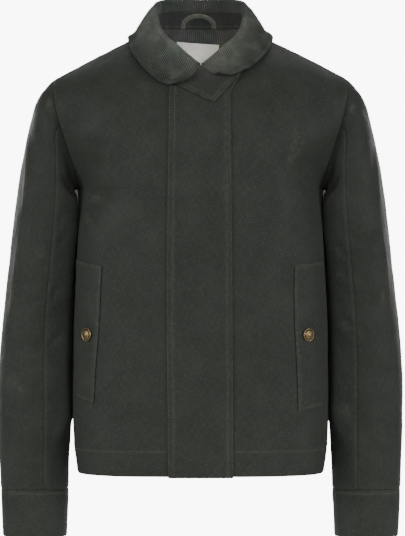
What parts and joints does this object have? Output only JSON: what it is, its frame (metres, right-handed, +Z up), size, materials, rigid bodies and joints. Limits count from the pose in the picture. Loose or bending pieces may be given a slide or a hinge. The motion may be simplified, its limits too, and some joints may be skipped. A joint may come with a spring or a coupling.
{
  "type": "waxed cotton jacket",
  "caption": "Cropped boxy waxed cotton jacket with a corduroy collar, storm flap over the front, throat tab and snap pocket welts, filled out and hollow.",
  "frame": {"origin": "middle of the neck seam at the height where it meets the shoulder seams, where the wearer's neck and shoulders carry the jacket", "axes": "+Z up, the front faces -Y, +X toward the wearer's left"},
  "size_m": [0.566, 0.2324, 0.7536],
  "materials": {
    "waxed_cotton": "waxed cotton, dark olive, soft sheen",
    "corduroy": "corduroy, fine wales, dark grey-green",
    "woven_label": "plain woven label, off-white",
    "antique_brass": "antique brass, worn"
  },
  "bodies": {
    "root": {"front_left": "waxed_cotton", "front_right": "waxed_cotton", "back": "waxed_cotton", "sleeve_top_left": "waxed_cotton", "sleeve_top_right": "waxed_cotton", "sleeve_under_left": "waxed_cotton", "sleeve_under_right": "waxed_cotton", "cuff_left": "waxed_cotton", "cuff_right": "waxed_cotton", "storm_flap": "waxed_cotton", "throat_tab": "waxed_cotton", "pocket_welt_left": "waxed_cotton", "pocket_welt_right": "waxed_cotton", "collar_stand": "corduroy", "collar_fall": "corduroy", "neck_facing": "corduroy", "hanger_loop": "waxed_cotton", "label": "woven_label", "snap_cap_left": "antique_brass", "snap_cap_right": "antique_brass"}
  },
  "joints": []
}
